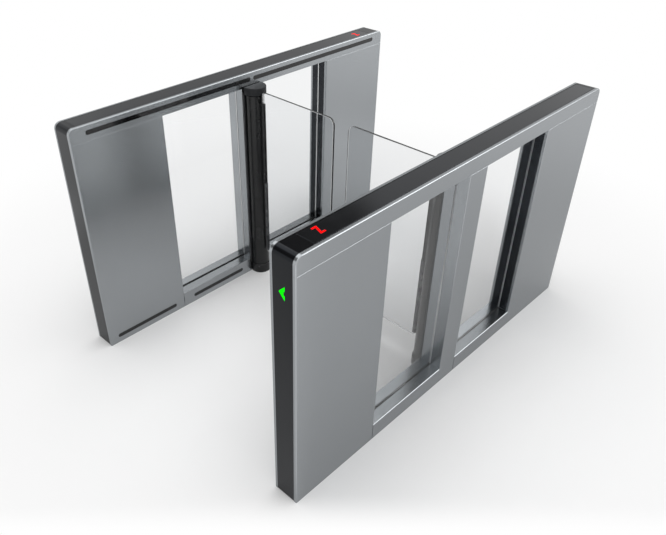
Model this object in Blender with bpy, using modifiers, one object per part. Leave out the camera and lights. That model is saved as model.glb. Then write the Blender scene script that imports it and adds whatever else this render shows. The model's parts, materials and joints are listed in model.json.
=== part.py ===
# Swing-leaf access control gate: two slim free-standing cabinets, each with a round black post
# that turns a clear glass leaf. Metres, +Z up, origin on the floor in the middle of the lane.
#
# Each piece is modelled once, in the frame of one cabinet: X is zero in the middle of the cabinet
# and grows towards the lane, Y runs along the cabinet and grows towards the entry end, and Z is up.
# The left cabinet stands unturned, and the right one is the same cabinet turned half a turn.
import math

import bmesh
import bpy
from mathutils import Matrix, Vector

# Overall sizes
CABINET_LENGTH = 1.700
CABINET_WIDTH = 0.100
CABINET_HEIGHT = 0.980
LANE_WIDTH = 1.010

# Casing: top rail, windows, post in the middle, sills
RAIL_HEIGHT = 0.060
SILL_HEIGHT = 0.072
MULLION_WIDTH = 0.103
WINDOW_LENGTH = 0.407
SHEET = 0.0015
FOLD_RADIUS = 0.002
EDGE_RETURN = 0.0115
RAIL_CORNER_RADIUS = 0.025
STIFFENER = 0.002
STIFFENER_INSET = 0.030
STIFFENER_LIFT = 0.013

# Clearances
FIT_GAP = 0.0003
TRIM_GAP = 0.0005
OVERRUN = 0.010

# Base plate and its anchor holes
PLATE = 0.005
PLATE_END_GAP = 0.004
ANCHOR_HOLE_RADIUS = 0.007
ANCHOR_SETBACK = 0.060

# Black trim: end covers, lid, reveal liners; a cover runs this far past its bend to its seam
COVER = 0.003
COVER_FOOT = 0.002
COVER_POCKET = 0.012
ENTRY_COVER_RUN = 0.058
EXIT_COVER_RUN = 0.013
LID = 0.004
LINER = 0.003

# Window panes
PANE = 0.006

# Sensor bars and the slots that show their lenses
LENS_HEIGHT = 0.018
LENS_SINK = 0.0004
LENS_BAR_MARGIN = 0.002
LENS_BAR_DEPTH = 0.010
LENS_BAR_END = 0.012
TOP_LENS_DROP = 0.029
TOP_LENS_START = 0.010
TOP_LENS_SETBACK = 0.065
LOW_LENS_CENTRE = 0.033
SILL_LENS_MARGIN = 0.055
PANEL_LENS_MARGIN = 0.045
PANEL_LENS_SETBACK = 0.040

# Signs at the entry end
ARROW_DROP = 0.135
ARROW_WIDTH = 0.030
ARROW_HEIGHT = 0.048
ARROW_NOTCH = 0.009
ZIGZAG_SETBACK = 0.055
ZIGZAG_WIDTH = 0.036
ZIGZAG_LENGTH = 0.026
ZIGZAG_STROKE = 0.0085
SIGN_BOARD_MARGIN = 0.008
SIGN_BOARD = 0.008
SIGN_SINK = 0.0003

# Controller in the entry panel
CONTROLLER_DEPTH = 0.045
CONTROLLER_HEIGHT = 0.300
CONTROLLER_MARGIN = 0.100
CONTROLLER_SETBACK = 0.070
CONTROLLER_FOOT = 0.320
CONTROLLER_BEVEL = 0.004

# Turning post: its axis stands this far in front of the cabinet's lane face, and its tube is
# this much slimmer on each side than the middle post behind it
AXIS_STANDOFF = 0.014
TUBE_INSET = 0.0085
TUBE_WALL = 0.0025
TUBE_END_GAP = 0.0015
TUBE_WEB = 0.015
TUBE_WEB_DROP = 0.013
BACK_CLEARANCE = 0.0015
BACK_WALL = 0.004
BACK_FRONT = 0.0075

# Cap over the post, with its pivot pin
CAP_OVERHANG = 0.007
CAP_DROP = 0.020
CAP_HEIGHT = 0.027
CAP_FILLET = 0.005
CAP_TONGUE = 0.045
PIN_RADIUS = 0.008
PIN_LENGTH = 0.034

# Base collar under the post
COLLAR_LIP = 0.005
COLLAR_HEIGHT = 0.045
COLLAR_CHAMFER = 0.003
BOSS_HEIGHT = 0.017
COLLAR_TONGUE = 0.010
COLLAR_TONGUE_INSET = 0.0175
COLLAR_TONGUE_WIDTH = 0.060

# Bearings
UPPER_BEARING_WALL = 0.008
LOWER_BEARING_WALL = 0.0057
LOWER_BEARING_SINK = 0.002
BEARING_GROOVE = 0.001
BEARING_RACE = 0.002

# Drive unit and hub inside the post
MOTOR_CLEARANCE = 0.0095
MOTOR_HEIGHT = 0.140
GEARBOX_CLEARANCE = 0.0055
GEARBOX_HEIGHT = 0.070
STEP_CHAMFER = 0.003
SHAFT_RADIUS = 0.008
SHAFT_SOCKET = 0.035
HUB_HEIGHT = 0.020
HUB_NECK_RADIUS = 0.016
HUB_NECK_HEIGHT = 0.010
HUB_LIFT = 0.006

# Leaf: glass and the clamp that holds it to the post
GLASS = 0.010
LEAF_OFFSET = 0.011
LEAF_MEETING_GAP = 0.074
LEAF_FOOT = 0.120
LEAF_DROP = 0.010
LEAF_CORNER_RADIUS = 0.030
CLAMP_OFFSET = 0.019
CLAMP_THICKNESS = 0.018
CLAMP_LENGTH = 0.370
CLAMP_DROP = 0.050

# Facets
FOLD_STEPS = 3
CORNER_STEPS = 8
ROUND_STEPS = 36
SMALL_ROUND_STEPS = 24
HOLE_STEPS = 16
WELD_DISTANCE = 0.000001
FLAT_ANGLE = math.radians(0.1)
SMOOTH_ANGLE = math.radians(35)
ROUND_SHARE = 0.5

# Places worked out from the sizes above
HALF_WIDTH = CABINET_WIDTH / 2
HALF_LENGTH = CABINET_LENGTH / 2
INNER_HALF = HALF_WIDTH - SHEET
TRIM_HALF = HALF_WIDTH - EDGE_RETURN - TRIM_GAP
RAIL_FOOT = CABINET_HEIGHT - RAIL_HEIGHT
MULLION_EDGE = MULLION_WIDTH / 2
MULLION_INNER = MULLION_EDGE - SHEET - FIT_GAP
MULLION_MOUTH = HALF_WIDTH - BACK_FRONT
WINDOW_EDGE = MULLION_EDGE + WINDOW_LENGTH
ENTRY_SEAM = HALF_LENGTH - RAIL_CORNER_RADIUS - ENTRY_COVER_RUN
EXIT_SEAM = HALF_LENGTH - RAIL_CORNER_RADIUS - EXIT_COVER_RUN
TOP_LENS_CENTRE = CABINET_HEIGHT - TOP_LENS_DROP
TOP_LENS_END = HALF_LENGTH - TOP_LENS_SETBACK
SILL_LENS_START = MULLION_EDGE + SILL_LENS_MARGIN
SILL_LENS_END = WINDOW_EDGE - SILL_LENS_MARGIN
PANEL_LENS_START = WINDOW_EDGE + PANEL_LENS_MARGIN
PANEL_LENS_END = HALF_LENGTH - PANEL_LENS_SETBACK
ARROW_CENTRE = CABINET_HEIGHT - ARROW_DROP
ZIGZAG_CENTRE = ENTRY_SEAM - ZIGZAG_SETBACK
AXIS_X = HALF_WIDTH + AXIS_STANDOFF
TUBE_RADIUS = MULLION_EDGE - TUBE_INSET
TUBE_BORE = TUBE_RADIUS - TUBE_WALL
CAP_RADIUS = TUBE_RADIUS + CAP_OVERHANG
CAP_FOOT = RAIL_FOOT - CAP_DROP
CAP_TOP = CAP_FOOT + CAP_HEIGHT
COLLAR_RADIUS = TUBE_RADIUS + COLLAR_LIP
BOSS_RADIUS = TUBE_BORE - LOWER_BEARING_WALL - FIT_GAP
MOTOR_RADIUS = TUBE_BORE - MOTOR_CLEARANCE
GEARBOX_RADIUS = TUBE_BORE - GEARBOX_CLEARANCE
UPPER_BEARING_RADIUS = PIN_RADIUS + UPPER_BEARING_WALL
TUBE_FOOT = COLLAR_HEIGHT + TUBE_END_GAP
TUBE_TOP = CAP_FOOT - TUBE_END_GAP
WEB_TOP = TUBE_TOP - TUBE_WEB_DROP
WEB_FOOT = WEB_TOP - TUBE_WEB
BOSS_TOP = COLLAR_HEIGHT + BOSS_HEIGHT
DRIVE_FOOT = BOSS_TOP + FIT_GAP
DRIVE_TOP = DRIVE_FOOT + MOTOR_HEIGHT + GEARBOX_HEIGHT
LEAF_START = TUBE_RADIUS + LEAF_OFFSET
LEAF_END = (LANE_WIDTH - LEAF_MEETING_GAP) / 2 - AXIS_STANDOFF
LEAF_TOP = RAIL_FOOT - LEAF_DROP
CLAMP_REACH = TUBE_RADIUS + CLAMP_OFFSET
CLAMP_TOP = LEAF_TOP - CLAMP_DROP
CLAMP_FOOT = CLAMP_TOP - CLAMP_LENGTH

FINISHES = {
    "brushed_steel": {"color": (0.34, 0.35, 0.36, 1), "metallic": 1.0, "roughness": 0.35},
    "black_gloss": {"color": (0.016, 0.017, 0.018, 1), "metallic": 0.0, "roughness": 0.12},
    "black_satin": {"color": (0.024, 0.026, 0.028, 1), "metallic": 0.0, "roughness": 0.35},
    "black_lens": {"color": (0.030, 0.034, 0.036, 1), "metallic": 0.0, "roughness": 0.20},
    "clear_glass": {"color": (0.90, 0.95, 0.94, 1), "metallic": 0.0, "roughness": 0.02},
    "bearing_steel": {"color": (0.55, 0.56, 0.57, 1), "metallic": 1.0, "roughness": 0.25},
    "plate_steel": {"color": (0.42, 0.43, 0.44, 1), "metallic": 1.0, "roughness": 0.50},
    "machine_grey": {"color": (0.20, 0.21, 0.22, 1), "metallic": 0.0, "roughness": 0.50},
    "green_light": {"color": (0.02, 0.80, 0.05, 1), "metallic": 0.0, "roughness": 0.40},
    "red_light": {"color": (0.85, 0.02, 0.02, 1), "metallic": 0.0, "roughness": 0.40},
}


# Scene helpers

def clear_scene():
    """Remove every object that the file starts with."""
    for obj in list(bpy.data.objects):
        bpy.data.objects.remove(obj, do_unlink=True)


def new_collection(name):
    """Make a collection and link it to the scene."""
    collection = bpy.data.collections.new(name)
    bpy.context.scene.collection.children.link(collection)
    return collection


def make_material(name):
    """Make the Principled material of one finish."""
    finish = FINISHES[name]
    material = bpy.data.materials.new(name)
    material.use_nodes = True
    shader = material.node_tree.nodes["Principled BSDF"]
    shader.inputs["Base Color"].default_value = finish["color"]
    shader.inputs["Metallic"].default_value = finish["metallic"]
    shader.inputs["Roughness"].default_value = finish["roughness"]
    return material


def add_empty(name, collection, location, turn=0.0, parent=None):
    """Make an empty that carries pieces, turned about Z."""
    empty = bpy.data.objects.new(name, None)
    empty.location = location
    empty.rotation_euler = (0, 0, turn)
    empty.parent = parent
    collection.objects.link(empty)
    return empty


# Shape helpers: each returns a closed mesh

def evaluated(obj):
    """Turn an object with its modifiers into a welded mesh with its flat faces joined."""
    bpy.context.scene.collection.objects.link(obj)
    bpy.context.view_layer.update()
    graph = bpy.context.evaluated_depsgraph_get()
    mesh = bpy.data.meshes.new_from_object(obj.evaluated_get(graph), depsgraph=graph)
    bpy.data.objects.remove(obj, do_unlink=True)
    work = bmesh.new()
    work.from_mesh(mesh)
    bmesh.ops.remove_doubles(work, verts=work.verts, dist=WELD_DISTANCE)
    bmesh.ops.dissolve_limit(work, angle_limit=FLAT_ANGLE, verts=work.verts, edges=work.edges)
    work.to_mesh(mesh)
    work.free()
    return mesh


def faced_out(mesh):
    """Turn the faces of one closed shell outwards."""
    work = bmesh.new()
    work.from_mesh(mesh)
    bmesh.ops.recalc_face_normals(work, faces=work.faces)
    work.to_mesh(mesh)
    work.free()
    return mesh


def box(low, high):
    """A box between its lowest and highest corners."""
    low = Vector(low)
    high = Vector(high)
    mesh = bpy.data.meshes.new("box")
    work = bmesh.new()
    place = Matrix.Translation((low + high) / 2) @ Matrix.Diagonal((*(high - low), 1))
    bmesh.ops.create_cube(work, size=1, matrix=place)
    work.to_mesh(mesh)
    work.free()
    return mesh


def arc(centre, radius, start, end, steps):
    """Points on an arc, from one angle to another, ends included."""
    angles = [start + (end - start) * step / steps for step in range(steps + 1)]
    return [(centre[0] + radius * math.cos(a), centre[1] + radius * math.sin(a)) for a in angles]


def rounded(corners, steps):
    """An outline from (x, y, radius) corners: a corner with a radius becomes an arc."""
    points = []
    for index, (x, y, radius) in enumerate(corners):
        here = Vector((x, y))
        if radius == 0:
            points.append((x, y))
            continue
        before = Vector(corners[index - 1][:2]) - here
        after = Vector(corners[(index + 1) % len(corners)][:2]) - here
        before.normalize()
        after.normalize()
        half = before.angle(after) / 2
        middle = here + (before + after).normalized() * radius / math.sin(half)
        start = here + before * radius / math.tan(half) - middle
        finish = here + after * radius / math.tan(half) - middle
        sweep = start.angle_signed(finish)
        first = math.atan2(start.y, start.x)
        points.extend(arc(middle, radius, first, first - sweep, steps))
    return points


def slot_outline(start, end, centre, height, shrink=0.0):
    """A long slot with round ends, in the plane of length and height."""
    radius = height / 2 - shrink
    quarter = math.pi / 2
    right = arc((end - height / 2, centre), radius, -quarter, quarter, CORNER_STEPS)
    left = arc((start + height / 2, centre), radius, quarter, 3 * quarter, CORNER_STEPS)
    return right + left


def extrusion(outline, axis, low, high, holes=()):
    """Extrude an outline along an axis: along X it is (y, z), along Y (x, z), along Z (x, y)."""
    curve = bpy.data.curves.new("outline", "CURVE")
    curve.dimensions = "2D"
    curve.fill_mode = "BOTH"
    curve.extrude = (high - low) / 2
    for loop in (outline, *holes):
        spline = curve.splines.new("POLY")
        spline.points.add(len(loop) - 1)
        for point, (x, y) in zip(spline.points, loop):
            point.co = (x, y, 0, 1)
        spline.use_cyclic_u = True
    mesh = evaluated(bpy.data.objects.new("outline", curve))
    turns = {
        "X": Matrix(((0, 0, 1), (1, 0, 0), (0, 1, 0))),
        "Y": Matrix(((1, 0, 0), (0, 0, 1), (0, 1, 0))),
        "Z": Matrix(((1, 0, 0), (0, 1, 0), (0, 0, 1))),
    }
    mesh.transform(turns[axis].to_4x4())
    middle = (low + high) / 2
    shift = {"X": (middle, 0, 0), "Y": (0, middle, 0), "Z": (0, 0, middle)}[axis]
    mesh.transform(Matrix.Translation(shift))
    return faced_out(mesh)


def turned(profile, steps, closed=False):
    """Turn a profile of (radius, height) points, from the top down its outer side, about Z."""
    mesh = bpy.data.meshes.new("profile")
    count = len(profile)
    edges = [(index, index + 1) for index in range(count - 1)]
    if closed:
        edges.append((count - 1, 0))
    mesh.from_pydata([(radius, 0, height) for radius, height in profile], edges, [])
    obj = bpy.data.objects.new("profile", mesh)
    screw = obj.modifiers.new("turn", "SCREW")
    screw.axis = "Z"
    screw.angle = 2 * math.pi
    screw.steps = steps
    screw.render_steps = steps
    screw.use_merge_vertices = True
    screw.merge_threshold = WELD_DISTANCE
    return evaluated(obj)


def combined(mesh, others, operation):
    """Cut the other meshes from a mesh, or join them to it."""
    for other in others:
        body = bpy.data.objects.new("body", mesh)
        tool = bpy.data.objects.new("tool", other)
        tool.hide_render = True
        tool.display_type = "WIRE"
        bpy.context.scene.collection.objects.link(tool)
        modifier = body.modifiers.new("combine", "BOOLEAN")
        modifier.operation = operation
        modifier.object = tool
        mesh = evaluated(body)
        bpy.data.objects.remove(tool, do_unlink=True)
    return mesh


def cut(mesh, *others):
    return combined(mesh, others, "DIFFERENCE")


def join(mesh, *others):
    return combined(mesh, others, "UNION")


def moved(mesh, offset):
    """Shift a mesh by an offset."""
    mesh.transform(Matrix.Translation(offset))
    return mesh


def mirrored(mesh):
    """A copy of a mesh on the other side of the cabinet's middle, across Y."""
    copy = mesh.copy()
    copy.transform(Matrix.Diagonal((1, -1, 1, 1)))
    copy.flip_normals()
    return copy


def bevelled(mesh, wanted, width, steps):
    """Round the edges whose middle passes a test."""
    work = bmesh.new()
    work.from_mesh(mesh)
    edges = [edge for edge in work.edges if wanted((edge.verts[0].co + edge.verts[1].co) / 2)]
    bmesh.ops.bevel(work, geom=edges, offset=width, segments=steps, profile=ROUND_SHARE, affect="EDGES")
    work.to_mesh(mesh)
    work.free()
    return mesh


# Casing

def low_slot(start, end):
    """The cutter of a low lens slot in the lane side."""
    outline = slot_outline(start, end, LOW_LENS_CENTRE, LENS_HEIGHT)
    return extrusion(outline, "X", INNER_HALF - OVERRUN, HALF_WIDTH + OVERRUN)


def folded_skin(side):
    """One side skin of a panel, folded in at the window and at the end; side is 1 at the lane."""
    outer = side * HALF_WIDTH
    inner = side * INNER_HALF
    lip = side * (HALF_WIDTH - EDGE_RETURN)
    corners = [
        (lip, WINDOW_EDGE, 0), (outer, WINDOW_EDGE, FOLD_RADIUS),
        (outer, HALF_LENGTH, FOLD_RADIUS), (lip, HALF_LENGTH, 0),
        (lip, HALF_LENGTH - SHEET, 0), (inner, HALF_LENGTH - SHEET, 0),
        (inner, WINDOW_EDGE + SHEET, 0), (lip, WINDOW_EDGE + SHEET, 0),
    ]
    return extrusion(rounded(corners, FOLD_STEPS), "Z", 0, RAIL_FOOT - FIT_GAP)


def end_panel():
    """The entry panel: two folded skins joined by a stiffener, open at the end and the window."""
    reach = HALF_WIDTH - SHEET / 2
    stiffener_place = WINDOW_EDGE + STIFFENER_INSET
    stiffener = box((-reach, stiffener_place, SILL_HEIGHT + STIFFENER_LIFT),
                    (reach, stiffener_place + STIFFENER, RAIL_FOOT - FIT_GAP))
    below_sill = box((-INNER_HALF, WINDOW_EDGE - OVERRUN, -OVERRUN),
                     (INNER_HALF, WINDOW_EDGE + EDGE_RETURN, SILL_HEIGHT))
    panel = join(folded_skin(1), stiffener, folded_skin(-1))
    return cut(panel, below_sill, low_slot(PANEL_LENS_START, PANEL_LENS_END))


def mullion():
    """The middle post's steel casing: a U that opens towards the lane, its outer side down to the floor."""
    corners = [
        (-HALF_WIDTH, -MULLION_EDGE, FOLD_RADIUS), (MULLION_MOUTH, -MULLION_EDGE, 0),
        (MULLION_MOUTH, SHEET - MULLION_EDGE, 0), (-INNER_HALF, SHEET - MULLION_EDGE, 0),
        (-INNER_HALF, MULLION_EDGE - SHEET, 0), (MULLION_MOUTH, MULLION_EDGE - SHEET, 0),
        (MULLION_MOUTH, MULLION_EDGE, 0), (-HALF_WIDTH, MULLION_EDGE, FOLD_RADIUS),
    ]
    body = extrusion(rounded(corners, FOLD_STEPS), "Z", 0, RAIL_FOOT - FIT_GAP)
    over_plate = box((-INNER_HALF, -MULLION_WIDTH, -OVERRUN),
                     (HALF_WIDTH, MULLION_WIDTH, PLATE + FIT_GAP))
    return cut(body, over_plate)


def sill():
    """A sill between the middle post and the entry panel: a channel that opens downwards."""
    corners = [
        (-HALF_WIDTH, 0, 0), (-HALF_WIDTH, SILL_HEIGHT, FOLD_RADIUS),
        (HALF_WIDTH, SILL_HEIGHT, FOLD_RADIUS), (HALF_WIDTH, 0, 0),
        (INNER_HALF, 0, 0), (INNER_HALF, SILL_HEIGHT - SHEET, 0),
        (-INNER_HALF, SILL_HEIGHT - SHEET, 0), (-INNER_HALF, 0, 0),
    ]
    body = extrusion(rounded(corners, FOLD_STEPS), "Y", MULLION_EDGE + FIT_GAP, WINDOW_EDGE - FIT_GAP)
    return cut(body, low_slot(SILL_LENS_START, SILL_LENS_END))


def rail_block(inset, half_width, low, high):
    """A full-length block with the rail's round top corners, inset from its ends and top."""
    end = HALF_LENGTH - inset
    top = high - inset
    radius = RAIL_CORNER_RADIUS - inset
    corners = [(-end, low, 0), (end, low, 0), (end, top, radius), (-end, top, radius)]
    return extrusion(rounded(corners, CORNER_STEPS), "X", -half_width, half_width)


def top_rail():
    """The top rail: a long channel with folded lips, open along the top and at both ends."""
    def on_side_rim(point):
        return abs(point.x) > INNER_HALF and point.z > RAIL_FOOT + SHEET
    rail = rail_block(0, HALF_WIDTH, RAIL_FOOT, CABINET_HEIGHT)
    rail = bevelled(rail, on_side_rim, FOLD_RADIUS, FOLD_STEPS)
    hollow = rail_block(SHEET, INNER_HALF, RAIL_FOOT + SHEET, CABINET_HEIGHT)
    lip = HALF_WIDTH - EDGE_RETURN
    past_end = HALF_LENGTH + OVERRUN
    mouth = box((-lip, -past_end, RAIL_FOOT + SHEET), (lip, past_end, CABINET_HEIGHT + OVERRUN))
    pocket = box((-lip, HALF_LENGTH - COVER_POCKET, RAIL_FOOT - OVERRUN),
                 (lip, past_end, RAIL_FOOT + SHEET + OVERRUN))
    lens = slot_outline(TOP_LENS_START, TOP_LENS_END, TOP_LENS_CENTRE, LENS_HEIGHT)
    slot = extrusion(lens, "X", INNER_HALF - OVERRUN, HALF_WIDTH + OVERRUN)
    return cut(rail, hollow, mouth, pocket, mirrored(pocket), slot, mirrored(slot))


def base_plate():
    """The floor plate inside the casing, with anchor holes and a notch for the post's collar."""
    side = INNER_HALF - FIT_GAP
    end = HALF_LENGTH - COVER - PLATE_END_GAP
    outline = [(-side, -end), (side, -end), (side, end), (-side, end)]
    window_middle = MULLION_EDGE + WINDOW_LENGTH / 2
    holes = []
    for place in (window_middle, WINDOW_EDGE + ANCHOR_SETBACK, HALF_LENGTH - ANCHOR_SETBACK):
        for centre in (place, -place):
            hole = arc((0, centre), ANCHOR_HOLE_RADIUS, 0, 2 * math.pi, HOLE_STEPS)
            holes.append(hole[:-1])
    plate = extrusion(outline, "Z", 0, PLATE, holes)
    ring = arc((AXIS_X, 0), COLLAR_RADIUS + FIT_GAP, 0, 2 * math.pi, ROUND_STEPS)
    return cut(plate, extrusion(ring[:-1], "Z", -OVERRUN, PLATE + OVERRUN))


# Black trim and glass

def cover_bend(seam):
    """An end cover: a strip up the end of the cabinet that bends over the top to a seam."""
    corners = [
        (HALF_LENGTH, COVER_FOOT, 0), (HALF_LENGTH, CABINET_HEIGHT, RAIL_CORNER_RADIUS),
        (seam, CABINET_HEIGHT, 0), (seam, CABINET_HEIGHT - COVER, 0),
        (HALF_LENGTH - COVER, CABINET_HEIGHT - COVER, RAIL_CORNER_RADIUS - COVER),
        (HALF_LENGTH - COVER, COVER_FOOT, 0),
    ]
    return extrusion(rounded(corners, CORNER_STEPS), "X", -TRIM_HALF, TRIM_HALF)


def arrow_outline(shrink):
    """A plain arrow head that points to the lane, with a notch in its tail, in (x, z)."""
    half_width = ARROW_WIDTH / 2 - shrink
    half_height = ARROW_HEIGHT / 2 - shrink - shrink
    notch = ARROW_NOTCH + shrink - half_width - shrink
    tail = shrink - half_width
    centre = ARROW_CENTRE
    return [(half_width - shrink, centre), (tail, centre + half_height),
            (notch, centre), (tail, centre - half_height)]


def zigzag_outline(shrink):
    """A plain zigzag stroke, in (x, y)."""
    half_width = ZIGZAG_WIDTH / 2 - shrink
    half_length = ZIGZAG_LENGTH / 2
    half_stroke = ZIGZAG_STROKE / 2 - shrink
    centre = ZIGZAG_CENTRE
    turn = ZIGZAG_WIDTH / 8
    middle_line = [(-half_width, centre - half_length / 2), (-turn, centre + half_length / 2),
                   (turn, centre - half_length / 2), (half_width, centre + half_length / 2)]
    return ([(x, y - half_stroke) for x, y in middle_line]
            + [(x, y + half_stroke) for x, y in reversed(middle_line)])


def entry_cover():
    """The entry end's cover, cut out for the arrow."""
    opening = extrusion(arrow_outline(0), "Y", HALF_LENGTH - OVERRUN, HALF_LENGTH + OVERRUN)
    return cut(cover_bend(ENTRY_SEAM), opening)


def exit_cover():
    """The exit end's cover, with nothing in it."""
    return mirrored(cover_bend(EXIT_SEAM))


def lid():
    """The long lid between the two end covers, cut out for the zigzag."""
    plate = box((-TRIM_HALF, FIT_GAP - EXIT_SEAM, CABINET_HEIGHT - LID),
                (TRIM_HALF, ENTRY_SEAM - FIT_GAP, CABINET_HEIGHT))
    opening = extrusion(zigzag_outline(0), "Z", CABINET_HEIGHT - OVERRUN, CABINET_HEIGHT + OVERRUN)
    return cut(plate, opening)


def arrow_sign():
    """A light board behind the entry cover, with the arrow that fills its opening."""
    back = HALF_LENGTH - COVER - FIT_GAP
    half_width = ARROW_WIDTH / 2 + SIGN_BOARD_MARGIN
    half_height = ARROW_HEIGHT / 2 + SIGN_BOARD_MARGIN
    board = box((-half_width, back - SIGN_BOARD, ARROW_CENTRE - half_height),
                (half_width, back, ARROW_CENTRE + half_height))
    arrow = extrusion(arrow_outline(FIT_GAP), "Y", back - SIGN_BOARD / 2, HALF_LENGTH - SIGN_SINK)
    return join(board, arrow)


def lid_sign():
    """A light board under the lid, with the zigzag that fills its opening."""
    back = CABINET_HEIGHT - LID - FIT_GAP
    half_width = ZIGZAG_WIDTH / 2 + SIGN_BOARD_MARGIN
    half_length = ZIGZAG_LENGTH / 2 + SIGN_BOARD_MARGIN
    board = box((-half_width, ZIGZAG_CENTRE - half_length, back - SIGN_BOARD),
                (half_width, ZIGZAG_CENTRE + half_length, back))
    mark = extrusion(zigzag_outline(FIT_GAP), "Z", back - SIGN_BOARD / 2, CABINET_HEIGHT - SIGN_SINK)
    return join(board, mark)


def reveal_liner():
    """The black liner that closes the entry panel at the window."""
    return box((-TRIM_HALF, WINDOW_EDGE, SILL_HEIGHT + FIT_GAP),
               (TRIM_HALF, WINDOW_EDGE + LINER, RAIL_FOOT - FIT_GAP))


def window_pane():
    """The fixed glass between the middle post and the entry panel."""
    return box((-PANE / 2, MULLION_EDGE + FIT_GAP, SILL_HEIGHT + FIT_GAP),
               (PANE / 2, WINDOW_EDGE - FIT_GAP, RAIL_FOOT - FIT_GAP))


# Sensors and controller

def sensor_bar(lenses, centre):
    """A bar behind the lane side whose long lenses show through the slots, as one piece."""
    half_height = LENS_HEIGHT / 2 + LENS_BAR_MARGIN
    front = INNER_HALF - FIT_GAP
    starts = [start for start, end in lenses]
    ends = [end for start, end in lenses]
    body = box((front - LENS_BAR_DEPTH, min(starts) - LENS_BAR_END, centre - half_height),
               (front, max(ends) + LENS_BAR_END, centre + half_height))
    for start, end in lenses:
        outline = slot_outline(start, end, centre, LENS_HEIGHT, FIT_GAP)
        lens = extrusion(outline, "X", front - LENS_BAR_DEPTH / 2, HALF_WIDTH - LENS_SINK)
        body = join(body, lens)
    return body


def top_sensor_bar():
    lenses = ((-TOP_LENS_END, -TOP_LENS_START), (TOP_LENS_START, TOP_LENS_END))
    return sensor_bar(lenses, TOP_LENS_CENTRE)


def low_sensor_bar():
    lenses = ((SILL_LENS_START, SILL_LENS_END), (PANEL_LENS_START, PANEL_LENS_END))
    return sensor_bar(lenses, LOW_LENS_CENTRE)


def controller_box():
    """The gate's controller, on the inside of the outer skin of the entry panel."""
    back = FIT_GAP - INNER_HALF
    body = box((back, WINDOW_EDGE + CONTROLLER_MARGIN, CONTROLLER_FOOT),
               (back + CONTROLLER_DEPTH, HALF_LENGTH - CONTROLLER_SETBACK,
                CONTROLLER_FOOT + CONTROLLER_HEIGHT))
    return bevelled(body, lambda point: point.x > back + CONTROLLER_BEVEL, CONTROLLER_BEVEL, 1)


# Fixed pieces of the turning post, in the cabinet's frame

def post_back():
    """The black back of the post: a block in the mouth of the U, hollowed for the turning tube."""
    radius = TUBE_RADIUS + BACK_CLEARANCE
    behind = AXIS_X - radius - BACK_WALL
    shoulder = MULLION_MOUTH + FIT_GAP
    mouth_angle = math.acos((HALF_WIDTH - AXIS_X) / radius)
    hollow = arc((AXIS_X, 0), radius, 2 * math.pi - mouth_angle, mouth_angle, ROUND_STEPS // 2)
    outline = [(HALF_WIDTH, MULLION_EDGE), (shoulder, MULLION_EDGE), (shoulder, MULLION_INNER),
               (behind, MULLION_INNER), (behind, -MULLION_INNER), (shoulder, -MULLION_INNER),
               (shoulder, -MULLION_EDGE), (HALF_WIDTH, -MULLION_EDGE), *hollow]
    return extrusion(outline, "Z", TUBE_FOOT, CAP_FOOT - FIT_GAP)


def post_cap():
    """The fixed cap over the post, with a tongue into the U and the upper pivot pin under it."""
    def on_top_rim(point):
        return point.z > CAP_TOP - CAP_FILLET and point.x > face + FIT_GAP
    face = HALF_WIDTH + FIT_GAP
    quarter = math.pi / 2
    nose = arc((AXIS_X, 0), CAP_RADIUS, -quarter, quarter, ROUND_STEPS // 2)
    outline = [(face, -CAP_RADIUS), *nose, (face, CAP_RADIUS)]
    head = extrusion(outline, "Z", CAP_FOOT, CAP_TOP)
    head = bevelled(head, on_top_rim, CAP_FILLET, FOLD_STEPS)
    tongue = box((HALF_WIDTH - CAP_TONGUE, -MULLION_INNER, CAP_FOOT),
                 (AXIS_X, MULLION_INNER, RAIL_FOOT - FIT_GAP))
    tip = CAP_FOOT - PIN_LENGTH
    middle = (CAP_FOOT + CAP_TOP) / 2
    pin = turned([(0, middle), (PIN_RADIUS, middle), (PIN_RADIUS, tip), (0, tip)], SMALL_ROUND_STEPS)
    return join(head, tongue, moved(pin, (AXIS_X, 0, 0)))


def post_collar():
    """The fixed collar that the post stands in, with a tongue over the floor plate and a boss."""
    rim = COLLAR_RADIUS - COLLAR_CHAMFER
    profile = [(0, BOSS_TOP), (BOSS_RADIUS, BOSS_TOP), (BOSS_RADIUS, COLLAR_HEIGHT),
               (rim, COLLAR_HEIGHT), (COLLAR_RADIUS, COLLAR_HEIGHT - COLLAR_CHAMFER),
               (COLLAR_RADIUS, 0), (0, 0)]
    collar = moved(turned(profile, ROUND_STEPS), (AXIS_X, 0, 0))
    half = COLLAR_TONGUE_WIDTH / 2
    tongue = box((COLLAR_TONGUE_INSET - INNER_HALF, -half, PLATE + FIT_GAP),
                 (AXIS_X, half, PLATE + FIT_GAP + COLLAR_TONGUE))
    return join(collar, tongue)


def bearing(bore, radius, foot, top, steps):
    """A ring bearing with a groove between its races, in the post's frame."""
    inner = bore + BEARING_RACE
    outer = radius - BEARING_RACE
    profile = [(bore, top), (inner, top), (inner, top - BEARING_GROOVE), (outer, top - BEARING_GROOVE),
               (outer, top), (radius, top), (radius, foot), (bore, foot)]
    return turned(profile, steps, closed=True)


def upper_bearing():
    return bearing(PIN_RADIUS + FIT_GAP, UPPER_BEARING_RADIUS, WEB_FOOT, WEB_TOP, SMALL_ROUND_STEPS)


def lower_bearing():
    foot = COLLAR_HEIGHT + FIT_GAP
    top = BOSS_TOP - LOWER_BEARING_SINK
    return bearing(BOSS_RADIUS + FIT_GAP, TUBE_BORE - FIT_GAP, foot, top, ROUND_STEPS)


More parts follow.
